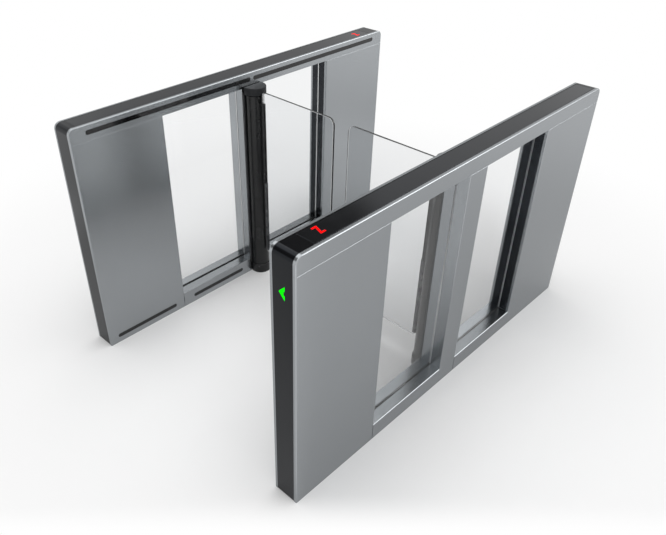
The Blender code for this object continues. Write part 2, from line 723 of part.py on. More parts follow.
def drive_unit():
    """The motor and its gearbox, standing on the collar's boss, with a socket for the shaft."""
    neck = DRIVE_FOOT + MOTOR_HEIGHT
    socket = SHAFT_RADIUS + FIT_GAP
    profile = [(0, DRIVE_TOP - SHAFT_SOCKET), (socket, DRIVE_TOP - SHAFT_SOCKET),
               (socket, DRIVE_TOP), (GEARBOX_RADIUS - STEP_CHAMFER, DRIVE_TOP),
               (GEARBOX_RADIUS, DRIVE_TOP - STEP_CHAMFER), (GEARBOX_RADIUS, neck + STEP_CHAMFER),
               (MOTOR_RADIUS, neck), (MOTOR_RADIUS, DRIVE_FOOT), (0, DRIVE_FOOT)]
    return turned(profile, ROUND_STEPS)


# Turning pieces, in the post's frame: the axis is at X zero

def post_tube():
    """The tube that turns, with a web near its top that holds the upper bearing."""
    bore = UPPER_BEARING_RADIUS + FIT_GAP
    profile = [(TUBE_RADIUS, TUBE_TOP), (TUBE_RADIUS, TUBE_FOOT), (TUBE_BORE, TUBE_FOOT),
               (TUBE_BORE, WEB_FOOT), (bore, WEB_FOOT), (bore, WEB_TOP),
               (TUBE_BORE, WEB_TOP), (TUBE_BORE, TUBE_TOP)]
    return turned(profile, ROUND_STEPS, closed=True)


def drive_hub():
    """The hub that turns the tube, with the shaft that turns in the gearbox."""
    foot = DRIVE_TOP + HUB_LIFT
    top = foot + HUB_HEIGHT
    tip = DRIVE_TOP - SHAFT_SOCKET + FIT_GAP
    rim = TUBE_BORE - FIT_GAP
    profile = [(0, top + HUB_NECK_HEIGHT), (HUB_NECK_RADIUS, top + HUB_NECK_HEIGHT),
               (HUB_NECK_RADIUS, top), (rim, top), (rim, foot),
               (SHAFT_RADIUS, foot), (SHAFT_RADIUS, tip), (0, tip)]
    return turned(profile, ROUND_STEPS)


def leaf_clamp():
    """The bar that holds the leaf's edge to the tube: round at its back, slotted at its front."""
    half = CLAMP_THICKNESS / 2
    seat = TUBE_RADIUS + FIT_GAP
    slot = GLASS / 2 + FIT_GAP
    slot_end = LEAF_START - FIT_GAP
    angle = math.asin(half / seat)
    back = arc((0, 0), seat, angle, -angle, CORNER_STEPS)
    outline = [*back, (CLAMP_REACH, -half), (CLAMP_REACH, -slot), (slot_end, -slot),
               (slot_end, slot), (CLAMP_REACH, slot), (CLAMP_REACH, half)]
    return extrusion(outline, "Z", CLAMP_FOOT, CLAMP_TOP)


def leaf_glass():
    """The clear leaf with four round corners."""
    radius = LEAF_CORNER_RADIUS
    corners = [(LEAF_START, LEAF_FOOT, radius), (LEAF_END, LEAF_FOOT, radius),
               (LEAF_END, LEAF_TOP, radius), (LEAF_START, LEAF_TOP, radius)]
    return extrusion(rounded(corners, CORNER_STEPS), "Y", -GLASS / 2, GLASS / 2)


# Every piece: its name, its finish and its mesh, first those in the cabinet's frame

def cabinet_pieces():
    """The fixed pieces that are placed in the cabinet's frame."""
    entry_panel = end_panel()
    entry_sill = sill()
    entry_liner = reveal_liner()
    entry_pane = window_pane()
    entry_sensor = low_sensor_bar()
    return [
        ("base_plate", "plate_steel", base_plate()),
        ("entry_panel", "brushed_steel", entry_panel),
        ("exit_panel", "brushed_steel", mirrored(entry_panel)),
        ("mullion", "brushed_steel", mullion()),
        ("top_rail", "brushed_steel", top_rail()),
        ("entry_sill", "brushed_steel", entry_sill),
        ("exit_sill", "brushed_steel", mirrored(entry_sill)),
        ("entry_cover", "black_gloss", entry_cover()),
        ("exit_cover", "black_gloss", exit_cover()),
        ("lid", "black_gloss", lid()),
        ("entry_liner", "black_gloss", entry_liner),
        ("exit_liner", "black_gloss", mirrored(entry_liner)),
        ("entry_pane", "clear_glass", entry_pane),
        ("exit_pane", "clear_glass", mirrored(entry_pane)),
        ("top_sensor_bar", "black_lens", top_sensor_bar()),
        ("entry_low_sensor", "black_lens", entry_sensor),
        ("exit_low_sensor", "black_lens", mirrored(entry_sensor)),
        ("arrow_sign", "green_light", arrow_sign()),
        ("lid_sign", "red_light", lid_sign()),
        ("controller_box", "machine_grey", controller_box()),
        ("post_back", "black_satin", post_back()),
        ("post_cap", "black_satin", post_cap()),
        ("post_collar", "black_satin", post_collar()),
    ]


def post_pieces():
    """The pieces that are placed in the post's frame: three fixed ones, then the turning ones."""
    return [
        ("upper_bearing", "bearing_steel", upper_bearing()),
        ("lower_bearing", "bearing_steel", lower_bearing()),
        ("drive_unit", "machine_grey", drive_unit()),
        ("post_tube", "black_satin", post_tube()),
        ("drive_hub", "bearing_steel", drive_hub()),
        ("leaf_clamp", "black_satin", leaf_clamp()),
        ("leaf_glass", "clear_glass", leaf_glass()),
    ]


def place_pieces(pieces, carriers, collection, materials):
    """Put one object of each piece on the left carrier and one on the right."""
    for name, finish, mesh in pieces:
        mesh.name = name
        mesh.materials.clear()
        mesh.materials.append(materials[finish])
        mesh.shade_smooth()
        mesh.set_sharp_from_angle(angle=SMOOTH_ANGLE)
        for side, carrier in carriers.items():
            obj = bpy.data.objects.new(f"{side}_{name}", mesh)
            obj.parent = carrier
            collection.objects.link(obj)


def build():
    """Model the gate."""
    clear_scene()
    collection = new_collection("access_control_gate")
    materials = {name: make_material(name) for name in FINISHES}
    middle = (LANE_WIDTH + CABINET_WIDTH) / 2
    cabinets = {
        "left": add_empty("left_cabinet", collection, (-middle, 0, 0)),
        "right": add_empty("right_cabinet", collection, (middle, 0, 0), turn=math.pi),
    }
    posts = {side: add_empty(f"{side}_post_axis", collection, (AXIS_X, 0, 0), parent=cabinet)
             for side, cabinet in cabinets.items()}
    place_pieces(cabinet_pieces(), cabinets, collection, materials)
    place_pieces(post_pieces(), posts, collection, materials)
    bpy.context.view_layer.update()


build()
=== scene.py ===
# Swing-leaf access control gate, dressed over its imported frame.
# Each piece is worked out once in a cabinet's own coordinates: x grows towards the lane,
# y towards the entry end, z up. The left cabinet stands unturned, the right one half a turn round.
import json
import math

import bmesh
import bpy
import numpy as np
from mathutils import Matrix, Vector


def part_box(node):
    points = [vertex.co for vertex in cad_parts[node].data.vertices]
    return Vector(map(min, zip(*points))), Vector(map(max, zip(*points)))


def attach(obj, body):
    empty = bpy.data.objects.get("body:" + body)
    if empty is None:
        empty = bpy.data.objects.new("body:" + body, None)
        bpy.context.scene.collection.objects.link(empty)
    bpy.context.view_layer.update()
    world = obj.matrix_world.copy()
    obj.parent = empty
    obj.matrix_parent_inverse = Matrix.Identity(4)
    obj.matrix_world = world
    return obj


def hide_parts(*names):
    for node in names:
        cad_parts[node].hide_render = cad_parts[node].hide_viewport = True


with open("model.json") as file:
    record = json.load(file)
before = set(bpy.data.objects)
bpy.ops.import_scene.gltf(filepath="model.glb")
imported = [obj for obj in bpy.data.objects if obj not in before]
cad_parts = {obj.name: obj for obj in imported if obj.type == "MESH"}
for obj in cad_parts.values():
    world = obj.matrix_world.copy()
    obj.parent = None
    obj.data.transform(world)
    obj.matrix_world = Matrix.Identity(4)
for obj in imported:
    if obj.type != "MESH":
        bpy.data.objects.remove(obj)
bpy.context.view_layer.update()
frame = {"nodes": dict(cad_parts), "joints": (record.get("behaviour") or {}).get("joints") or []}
print("frame loaded")

cabinetBody = "cabinets"
leafBodies = {"left": "left_leaf", "right": "right_leaf"}


def localBox(piece):
    # lowest and highest corner of a left node, seen from the middle of its cabinet
    low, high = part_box(f"left_{piece}")
    return np.array(low) - middleShift, np.array(high) - middleShift


railLow, railHigh = (np.array(corner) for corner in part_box("left_top_rail"))
middleShift = np.array([(railLow[0] + railHigh[0]) / 2, 0.0, 0.0])
swing = next(joint for joint in frame["joints"] if joint["name"] == "left_leaf_swing")
postAxis = swing["pos_m"][0] - middleShift[0]  # how far the leaf's axis stands from the cabinet's middle

casing = {
    "sheet": 0.0015,       # thickness of the folded steel
    "foldRadius": 0.0032,  # outer radius of a fold
    "edgeReturn": 0.0115,  # width of the returns round the black trim
    "seamEdge": 0.0011,    # rounding of the edges that meet at the seam under the rail
    "gap": 0.0003,         # between pieces that touch
}
shaping = {
    "mergeDistance": 0.000001,        # points closer than this are one
    "roundedTurn": 0.7,               # soften rounds edges that turn by a wider angle
    "sharpTurn": math.radians(40),    # edges that turn by a wider angle are shaded sharp or bevelled
    "bevelSteps": 2,
}
halfWidth = (railHigh[0] - railLow[0]) / 2
halfLength = railHigh[1]
height = railHigh[2]
railFoot = railLow[2]


def arc(centre, radius, first, last, steps):
    # points at even angles on a circle, both ends included
    angle = np.linspace(first, last, steps + 1)
    return np.stack([centre[0] + radius * np.cos(angle), centre[1] + radius * np.sin(angle)], axis=1)


def rounded(corners, steps=8):
    # outline of (u, v, radius) corners: where the radius isn't zero, an arc that touches both sides
    parts = []
    for index, (u, v, radius) in enumerate(corners):
        here = Vector((u, v))
        if radius == 0:
            parts.append(np.array([[u, v]]))
            continue
        before = (Vector(corners[index - 1][:2]) - here).normalized()
        after = (Vector(corners[(index + 1) % len(corners)][:2]) - here).normalized()
        half = before.angle(after) / 2
        middle = here + (before + after).normalized() * radius / math.sin(half)
        start = here + before * radius / math.tan(half) - middle
        sweep = start.angle_signed(here + after * radius / math.tan(half) - middle)
        first = math.atan2(start.y, start.x)
        parts.append(arc(middle, radius, first, first - sweep, steps))
    return np.concatenate(parts)


def slotOutline(start, end, centre, width, steps=12):
    # two half circles joined by straight runs
    radius = width / 2
    right = arc((end - radius, centre), radius, -math.pi / 2, math.pi / 2, steps)
    left = arc((start + radius, centre), radius, math.pi / 2, 3 * math.pi / 2, steps)
    return np.concatenate([right, left])


def meshFrom(points, faces):
    # one mesh from an array of points and a list of faces, with its faces turned outwards
    mesh = bpy.data.meshes.new("piece")
    mesh.from_pydata(np.asarray(points).tolist(), [], faces)
    work = bmesh.new()
    work.from_mesh(mesh)
    bmesh.ops.remove_doubles(work, verts=work.verts, dist=shaping["mergeDistance"])
    bmesh.ops.recalc_face_normals(work, faces=work.faces)
    work.to_mesh(mesh)
    work.free()
    return mesh


def loft(outlines, levels, axis):
    # outlines of one count joined level by level along an axis, closed at both ends:
    # along X an outline is (y, z), along Y (x, z), along Z (x, y)
    count = len(outlines[0])
    order = {"X": (2, 0, 1), "Y": (0, 2, 1), "Z": (0, 1, 2)}[axis]
    rings = [np.column_stack([outline, np.full(count, level)]) for outline, level in zip(outlines, levels)]
    points = np.concatenate(rings)[:, order]
    near = np.arange(count)
    far = np.roll(near, -1)
    faces = [near[::-1].tolist(), (near + count * (len(rings) - 1)).tolist()]
    for ring in range(len(rings) - 1):
        first, second = near + count * ring, far + count * ring
        faces += np.stack([first, second, second + count, first + count], axis=1).tolist()
    return meshFrom(points, faces)


def prism(outline, axis, low, high):
    # an outline carried straight along an axis
    return loft([outline, outline], [low, high], axis)


def lathe(profile, steps, centre=(0.0, 0.0)):
    # a profile of (radius, height) turned about Z: point (i, j) is profile i at angle j
    profile = np.asarray(profile, dtype=float)
    angle = np.linspace(0, 2 * math.pi, steps, endpoint=False)
    x = centre[0] + profile[:, :1] * np.cos(angle)
    y = centre[1] + profile[:, :1] * np.sin(angle)
    z = np.repeat(profile[:, 1:], steps, axis=1)
    points = np.stack([x, y, z], axis=2).reshape(-1, 3)
    row = np.arange(steps)
    after = np.roll(row, -1)
    faces = []
    for ring in range(len(profile)):
        following = (ring + 1) % len(profile)
        if profile[ring, 0] == 0 and profile[following, 0] == 0:
            continue
        quads = np.stack([row + ring * steps, after + ring * steps,
                          after + following * steps, row + following * steps], axis=1)
        faces += quads.tolist()
    return meshFrom(points, faces)


def soften(mesh, wanted, radius, segments):
    # round the edges whose middle passes a test
    work = bmesh.new()
    work.from_mesh(mesh)
    edges = [edge for edge in work.edges
             if edge.calc_face_angle(0) > shaping["roundedTurn"]
             and wanted((edge.verts[0].co + edge.verts[1].co) / 2)]
    bmesh.ops.bevel(work, geom=edges, offset=radius, segments=segments, profile=0.5, affect="EDGES")
    work.to_mesh(mesh)
    work.free()
    return mesh


def addObject(name, data):
    # a new object in the scene
    obj = bpy.data.objects.new(name, data)
    bpy.context.scene.collection.objects.link(obj)
    return obj


def cutBy(mesh, *tools):
    # take the tools' volumes out of a mesh
    for tool in tools:
        body = addObject("body", mesh)
        blade = addObject("blade", tool)
        cutting = body.modifiers.new("cut", "BOOLEAN")
        cutting.operation = "DIFFERENCE"
        cutting.object = blade
        bpy.context.view_layer.update()
        mesh = bpy.data.meshes.new_from_object(body.evaluated_get(bpy.context.evaluated_depsgraph_get()))
        for obj in (body, blade):
            bpy.data.objects.remove(obj, do_unlink=True)
    return mesh


def block(low, high):
    # a box between two corners
    (x0, y0, z0), (x1, y1, z1) = low, high
    return prism(np.array([[x0, y0], [x1, y0], [x1, y1], [x0, y1]]), "Z", z0, z1)


def together(*meshes):
    # several shells in one mesh
    work = bmesh.new()
    for mesh in meshes:
        work.from_mesh(mesh)
    joined = bpy.data.meshes.new("piece")
    work.to_mesh(joined)
    work.free()
    return joined


def flipped(mesh, axis=1):
    # the same shape on the other side of the middle, along Y unless another axis is given
    scale = [1, 1, 1, 1]
    scale[axis] = -1
    copy = mesh.copy()
    copy.transform(Matrix.Diagonal(scale))
    copy.flip_normals()
    return copy


def foldedSheet(corners, inset=0.0):
    # a folded strip's cross-section: its outer line drawn in by an inset,
    # and its inner line one sheet inside
    outer = np.array(corners)
    steps = np.diff(outer, axis=0)
    across = np.stack([-steps[:, 1], steps[:, 0]], axis=1) / np.linalg.norm(steps, axis=1)[:, None]
    across = np.concatenate([across[:1], across[:-1] + across[1:], across[-1:]])
    radii = np.full(len(outer), casing["foldRadius"])
    radii[[0, -1]] = 0
    inside = outer + across * casing["sheet"]
    insideRadii = np.where(radii > 0, radii - casing["sheet"], 0)
    outside = outer + across * inset
    outsideRadii = np.where(radii > 0, radii - inset, 0)
    line = np.concatenate([np.column_stack([outside, outsideRadii]),
                           np.column_stack([inside, insideRadii])[::-1]])
    return rounded([tuple(point) for point in line.tolist()])


def foldedStrip(corners, axis, low, high, softTop=False):
    # the cross-section carried along an axis; a soft top edge is a quarter circle of insets
    if not softTop:
        return prism(foldedSheet(corners), axis, low, high)
    soft = casing["seamEdge"]
    turn = np.linspace(0, math.pi / 2, 5)
    insets = np.concatenate([[0.0], soft - soft * np.cos(turn)])
    levels = np.concatenate([[low], high - soft + soft * np.sin(turn)])
    return loft([foldedSheet(corners, inset) for inset in insets], levels, axis)


def node(tree, kind, operation=None, **inputs):
    # a node whose inputs are given as values or as other nodes' outputs
    made = tree.nodes.new(f"ShaderNode{kind}")
    if operation:
        made.operation = operation
    for name, value in inputs.items():
        socket = made.inputs[int(name[2:]) if name.startswith("at") else name.replace("_", " ")]
        if isinstance(value, bpy.types.NodeSocket):
            tree.links.new(value, socket)
        else:
            socket.default_value = value
    return made


def reckon(tree, operation, first, second):
    # a sum of two numbers, or another operation on them
    return node(tree, "Math", operation, at0=first, at1=second).outputs["Value"]


def faded(tree, value, start, end, low, high):
    # low before the start, high after the end, and smooth between them
    made = node(tree, "MapRange", Value=value, From_Min=start, From_Max=end, To_Min=low, To_Max=high)
    made.interpolation_type = "SMOOTHSTEP"
    return made.outputs["Result"]


def newMaterial(name, **sockets):
    # a Principled material whose even values sit on the shader itself
    material = bpy.data.materials.new(name)
    material.use_nodes = True
    shader = material.node_tree.nodes["Principled BSDF"]
    for socket, value in sockets.items():
        shader.inputs[socket.replace("_", " ")].default_value = value
    return material, shader


def grain(material, stretch, detail, roughness=0.6):
    # noise on the object's own metres, stretched by a scale on each axis
    tree = material.node_tree
    place = node(tree, "TexCoord").outputs["Object"]
    stretched = node(tree, "Mapping", Vector=place, Scale=stretch).outputs["Vector"]
    noise = node(tree, "TexNoise", Vector=stretched, Scale=1.0, Detail=detail, Roughness=roughness)
    return noise.outputs["Fac"]


def spread(material, source, low, high, fromLow=0.3, fromHigh=0.7):
    # a number between low and high that follows the noise
    made = node(material.node_tree, "MapRange", Value=source, From_Min=fromLow, From_Max=fromHigh,
                To_Min=low, To_Max=high)
    return made.outputs["Result"]


def tinted(material, source, dark, light):
    # a colour between dark and light that follows the noise
    mixed = node(material.node_tree, "Mix", Factor=source)
    mixed.data_type = "RGBA"
    mixed.inputs["A"].default_value = (*dark, 1)
    mixed.inputs["B"].default_value = (*light, 1)
    return mixed.outputs["Result"]


def relief(material, shader, source, strength, distance):
    # a fine bump that follows the noise
    bump = node(material.node_tree, "Bump", Height=source, Strength=strength, Distance=distance)
    material.node_tree.links.new(bump.outputs["Normal"], shader.inputs["Normal"])


brush = {
    "glancing": (0.75, 0.75, 0.75, 1),   # the colour of the steel seen at a low angle
    "clouds": (3.1, 3.3, 2.7),
    "lineGloss": 0.01,       # how far the roughness goes either way with the grain
    "cloudGloss": 0.008,     # and with the clouds
    "bump": 0.02,
    "bumpDepth": 0.00001,
}


def brushedSteel(name, stretch, dark, light, roughness):
    # fine grain along one way, with slow clouds in its colour and its gloss
    material, shader = newMaterial(name, Metallic=1.0, Specular_Tint=brush["glancing"])
    tree = material.node_tree
    lines = grain(material, stretch, detail=1.0)
    clouds = grain(material, brush["clouds"], detail=3.0)
    tree.links.new(tinted(material, spread(material, clouds, 0, 1), dark, light), shader.inputs["Base Color"])
    fine = spread(material, lines, roughness - brush["lineGloss"], roughness + brush["lineGloss"])
    slow = spread(material, clouds, -brush["cloudGloss"], brush["cloudGloss"])
    tree.links.new(reckon(tree, "ADD", fine, slow), shader.inputs["Roughness"])
    relief(material, shader, lines, brush["bump"], brush["bumpDepth"])
    return material


coat = {"drift": (9.0, 9.0, 9.0), "bumpDepth": 0.00005}


def darkFinish(name, dark, light, gloss, spots, bump, **sockets):
    # a dark surface whose colour and gloss drift slowly, over a fine surface relief
    material, shader = newMaterial(name, **sockets)
    links = material.node_tree.links
    drift = grain(material, coat["drift"], detail=3.0)
    fine = grain(material, (spots, spots, spots), detail=2.0)
    links.new(tinted(material, spread(material, drift, 0, 1), dark, light), shader.inputs["Base Color"])
    links.new(spread(material, drift, *gloss), shader.inputs["Roughness"])
    relief(material, shader, fine, bump, coat["bumpDepth"])
    return material


# painted shade on glass edges: a dark finish that stands in for the dark line refraction gives there
paintedEdgeShade = {
    "colour": (0.02, 0.022, 0.022, 1),
    "roughness": 0.25,
    "edgeOn": 0.55,     # where less of the surface's normal than this is along Y, it is all edge
    "faceOn": 0.98,     # and where more is, it is all broad face
}


def clearGlass(name, colour, index, edge=0.0):
    # clear glass; where its surface turns away from the broad faces, which look along Y,
    # a share of it is painted shade: a dark finish for the dark line that refraction gives along its edge
    material, shader = newMaterial(name, Roughness=0.0, IOR=index)
    shader.inputs["Transmission Weight"].default_value = 1.0
    shader.inputs["Base Color"].default_value = (*colour, 1)
    if edge:
        tree = material.node_tree
        normal = node(tree, "SeparateXYZ", Vector=node(tree, "TexCoord").outputs["Normal"]).outputs["Y"]
        along = reckon(tree, "ABSOLUTE", normal, 0.0)
        share = faded(tree, along, paintedEdgeShade["edgeOn"], paintedEdgeShade["faceOn"], edge, 0)
        dark = node(tree, "BsdfPrincipled", Base_Color=paintedEdgeShade["colour"],
                    Roughness=paintedEdgeShade["roughness"])
        mixed = node(tree, "MixShader", at0=share, at1=shader.outputs["BSDF"], at2=dark.outputs["BSDF"])
        tree.links.new(mixed.outputs["Shader"], tree.nodes["Material Output"].inputs["Surface"])
    return material


diffuser = {
    "roughness": 0.45,
    "index": 1.1,
    "lamps": (140.0, 140.0, 140.0),
    "between": 0.8,     # share of its light that it keeps between two lamps
    "strength": 1.0,
}


def lightSign(name, colour):
    # a diffuser that glows, a little brighter where its lamps sit behind it
    material, shader = newMaterial(name, Roughness=diffuser["roughness"], IOR=diffuser["index"])
    links = material.node_tree.links
    lamps = spread(material, grain(material, diffuser["lamps"], detail=1.0), 0, 1)
    shade = tinted(material, lamps, [diffuser["between"] * part for part in colour], colour)
    links.new(shade, shader.inputs["Base Color"])
    links.new(shade, shader.inputs["Emission Color"])
    shader.inputs["Emission Strength"].default_value = diffuser["strength"]
    return material


darkSteel, lightSteel = (0.338, 0.355, 0.369), (0.346, 0.363, 0.377)
steelUpright = brushedSteel("steel_upright", (1300, 1300, 12), darkSteel, lightSteel, 0.25)
steelLengthwise = brushedSteel("steel_lengthwise", (1300, 12, 1300), darkSteel, lightSteel, 0.25)
platedSteel = brushedSteel("plated_steel", (60, 60, 60), (0.34, 0.35, 0.36), (0.46, 0.47, 0.48), 0.48)
groundSteel = brushedSteel("ground_steel", (40, 40, 900), (0.48, 0.49, 0.50), (0.60, 0.61, 0.62), 0.22)
coolGlint = (0.78, 0.87, 1.0, 1)
blackGloss, coverBlack = (
    darkFinish(name, (0.003, 0.003, 0.0035), (0.005, 0.005, 0.0055), (0.08, 0.13), 500, 0.02,
               IOR=index, Specular_Tint=coolGlint)
    for name, index in (("black_gloss", 1.40), ("cover_black", 1.29)))
blackSatin = darkFinish("black_satin", (0.007, 0.0075, 0.008), (0.011, 0.0115, 0.012),
                        (0.20, 0.25), 1400, 0.05, IOR=1.4)
blackRubber = darkFinish("black_rubber", (0.010, 0.010, 0.010), (0.018, 0.018, 0.018),
                         (0.60, 0.75), 900, 0.25)
lensDark = darkFinish("lens_dark", (0.004, 0.0042, 0.0045), (0.006, 0.0062, 0.0065),
                      (0.05, 0.09), 300, 0.01)
sealGrey = darkFinish("seal_grey", (0.050, 0.052, 0.055), (0.070, 0.072, 0.076),
                      (0.24, 0.30), 700, 0.05)
# painted light: the block behind the post is a lighter grey than the black post, which lifts its side that
# stands in shade
backLiftedGrey = darkFinish("back_lifted_grey", (0.030, 0.031, 0.033), (0.038, 0.039, 0.042),
                      (0.40, 0.50), 900, 0.10)
capBlack = darkFinish("cap_black", (0.026, 0.027, 0.029), (0.034, 0.035, 0.037),
                      (0.34, 0.40), 900, 0.10, IOR=1.15)
machineGrey = darkFinish("machine_grey", (0.10, 0.105, 0.11), (0.14, 0.145, 0.15),
                         (0.42, 0.52), 1100, 0.20)
screwBlack = darkFinish("screw_black", (0.012, 0.012, 0.013), (0.022, 0.022, 0.024),
                        (0.28, 0.36), 900, 0.10)
paneGlass = clearGlass("pane_glass", (0.900, 0.907, 0.911), 1.22)
# the leaf's glass edges carry painted shade
leafGlass = clearGlass("leaf_glass", (0.890, 0.897, 0.902), 1.28, edge=0.55)
# the beads at the panes' upright edges are a seal, and their pale colour is also a painted highlight for the
# glint of the glass's edge
sealAndGlint = darkFinish("seal_and_glint", (0.42, 0.43, 0.44), (0.52, 0.53, 0.54), (0.30, 0.38), 600, 0.10)
greenSign = lightSign("green_sign", (0.0, 0.85, 0.0))
redSign = lightSign("red_sign", (0.90, 0.0, 0.0))
print("materials made")

# how each cabinet stands in the frame
turns = {"left": Matrix.Translation((middleShift[0], 0, 0)),
         "right": Matrix.Rotation(math.pi, 4, "Z") @ Matrix.Translation((middleShift[0], 0, 0))}


def put(name, mesh, material, replaces=None, soft=0.0, leaf=False):
    # one object for each cabinet, or for each leaf: the mesh copied to its place,
    # its edges bevelled where it is soft
    for side, turn in turns.items():
        own = mesh.copy()
        own.transform(turn)
        own.materials.clear()
        own.materials.append(material)
        own.shade_smooth()
        own.set_sharp_from_angle(angle=shaping["sharpTurn"])
        obj = addObject(f"{side}_{name}", own)
        if soft:
            rounding = obj.modifiers.new("soft edges", "BEVEL")
            rounding.width = soft
            rounding.segments = shaping["bevelSteps"]
            rounding.limit_method = "ANGLE"
            rounding.angle_limit = shaping["sharpTurn"]
        obj.modifiers.new("even shading", "WEIGHTED_NORMAL").keep_sharp = True
        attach(obj, leafBodies[side] if leaf else cabinetBody)
        if replaces:
            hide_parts(f"{side}_{replaces}")


def dress(material, *pieces):
    # a CAD node that stays gets its own finish
    for piece in pieces:
        for side in turns:
            for holder in frame["nodes"][f"{side}_{piece}"].material_slots:
                holder.material = material


panelLow, panelHigh = localBox("entry_panel")
sillLow, sillHigh = localBox("entry_sill")
mullionLow, mullionHigh = localBox("mullion")
topBarLow, topBarHigh = localBox("top_sensor_bar")
lowBarLow, lowBarHigh = localBox("entry_low_sensor")
windowEdge = panelLow[1]
mullionEdge = mullionHigh[1]
sillTop = sillHigh[2]
lip = halfWidth - casing["edgeReturn"]

lenses = {
    "height": 0.018,
    "barEnd": 0.012,       # the bar runs this far past its lenses
    "topStart": 0.0075,    # the two top lenses start this far from the middle
    "sillEnd": 0.055,      # a sill's lens stops this far from the window's edge
    "panelStart": 0.045,   # the panel's lens starts this far past the window's edge
    "sink": 0.0004,        # the lens lies this far behind the steel
    "rim": 0.0006,         # rounding of the lens's edge
    "rimSteps": 3,
}
topLensCentre = (topBarLow[2] + topBarHigh[2]) / 2
lowLensCentre = (lowBarLow[2] + lowBarHigh[2]) / 2
topLens = (lenses["topStart"], topBarHigh[1] - lenses["barEnd"])
sillLens = (lowBarLow[1] + lenses["barEnd"], windowEdge - lenses["sillEnd"])
panelLens = (windowEdge + lenses["panelStart"], lowBarHigh[1] - lenses["barEnd"])


def slotBlade(span, centre):
    # the volume of a lens's slot
    return prism(slotOutline(*span, centre, lenses["height"]), "X", lip, halfWidth + lip)


def makeSkin():
    # one folded side of a panel, returned at the window and at the end
    corners = [(lip, windowEdge), (halfWidth, windowEdge), (halfWidth, halfLength), (lip, halfLength)]
    return foldedStrip(corners, "Z", 0, panelHigh[2], softTop=True)


def makePanel():
    # two folded sides; the sill runs in under them at the window
    inside = halfWidth - casing["sheet"]
    notch = block((-inside, windowEdge - inside, -inside),
                  (inside, windowEdge + casing["edgeReturn"], sillTop))
    laneSide = cutBy(makeSkin(), notch.copy(), slotBlade(panelLens, lowLensCentre))
    outerSide = cutBy(flipped(makeSkin(), axis=0), notch)
    return together(laneSide, outerSide)


def makeMullion():
    # a U of folded steel that opens to the lane
    mouth = mullionHigh[0]
    corners = [(mouth, mullionEdge), (-halfWidth, mullionEdge),
               (-halfWidth, -mullionEdge), (mouth, -mullionEdge)]
    return foldedStrip(corners, "Z", 0, mullionHigh[2], softTop=True)


def makeSill():
    # a channel that opens down
    corners = [(halfWidth, 0), (halfWidth, sillTop), (-halfWidth, sillTop), (-halfWidth, 0)]
    channel = foldedStrip(corners, "Y", sillLow[1], sillHigh[1])
    return cutBy(channel, slotBlade(sillLens, lowLensCentre))


rail = {"cornerRadius": 0.025, "cornerSteps": 24, "foldSteps": 8, "seamSteps": 3}


def railBlock(inset, halfBreadth, low):
    # the rail's silhouette along the cabinet, its two top corners round
    end = halfLength - inset
    top = height - inset
    radius = rail["cornerRadius"] - inset
    corners = [(-end, low, 0), (end, low, 0), (end, top, radius), (-end, top, radius)]
    return prism(rounded(corners, rail["cornerSteps"]), "X", -halfBreadth, halfBreadth)


def makeRail():
    # the silhouette with folded rims, hollowed out and opened along its top and down both ends
    sheet = casing["sheet"]
    outside = soften(railBlock(0, halfWidth, railFoot),
                     lambda point: abs(point.x) > halfWidth - sheet and point.z > railFoot + sheet,
                     casing["foldRadius"], rail["foldSteps"])
    side = halfWidth - casing["gap"]
    outside = soften(outside, lambda point: abs(point.x) > side and point.z < railFoot + sheet / 2,
                     casing["seamEdge"] / 2, rail["seamSteps"])
    hollow = railBlock(sheet, halfWidth - sheet, railFoot + sheet)
    past = halfLength + lip
    mouth = block((-lip, -past, railFoot + sheet), (lip, past, height + lip))
    floorCut = block((-lip, halfLength - casing["edgeReturn"], railFoot - lip), (lip, past, height))
    slot = slotBlade(topLens, topLensCentre)
    return cutBy(outside, hollow, mouth, floorCut, flipped(floorCut), slot, flipped(slot))


panel = makePanel()
put("entry_panel_skin", panel, steelUpright, "entry_panel")
put("exit_panel_skin", flipped(panel), steelUpright, "exit_panel")
put("mullion_fold", makeMullion(), steelUpright, "mullion")
sill = makeSill()
put("entry_sill_channel", sill, steelLengthwise, "entry_sill")
put("exit_sill_channel", flipped(sill), steelLengthwise, "exit_sill")
put("top_rail_channel", makeRail(), steelLengthwise, "top_rail")
print("steel casing made")

coverLow, coverHigh = localBox("entry_cover")
exitLow, exitHigh = localBox("exit_cover")
lidLow, lidHigh = localBox("lid")
linerLow, linerHigh = localBox("entry_liner")
arrowLow, arrowHigh = localBox("arrow_sign")
zigzagLow, zigzagHigh = localBox("lid_sign")
trimHalf = coverHigh[0]

trim = {
    "cover": 0.003,      # thickness of the end covers
    "softEdge": 0.0008,
    "bendSteps": 24,
    "lidGap": 0.0022,    # on both sides of the lid
}
signs = {
    "backing": 0.003,                 # a sign starts this far from the back of its light board
    "arrowPlace": (0.004, 0.001),     # how far it stands from the middle of its board, to the lane and up
    "arrowHalf": (0.0115, 0.0235),    # half its width and half its height
    "arrowNotch": (0.0045, 0.0065),   # depth of the notch in its tail, and half its height
    "zigzagPlace": (0.006, -0.003),   # how far it stands from the middle of its board
    "zigzagStroke": 0.0068,
    "zigzagHalf": (0.0152, 0.0115),   # half its width and length, along the middle of its stroke
    "zigzagBend": 0.0050,             # how far each bend lies past the middle
    "sink": 0.0003,                   # a sign lies this far behind the trim
    "clearance": 0.0003,
}


def coverBend(seam):
    # a strip up the end and over the top to its seam
    thick = trim["cover"]
    radius = rail["cornerRadius"]
    corners = [(halfLength, coverLow[2], 0), (halfLength, height, radius), (seam, height, 0),
               (seam, height - thick, 0), (halfLength - thick, height - thick, radius - thick),
               (halfLength - thick, coverLow[2], 0)]
    return prism(rounded(corners, trim["bendSteps"]), "X", -trimHalf, trimHalf)


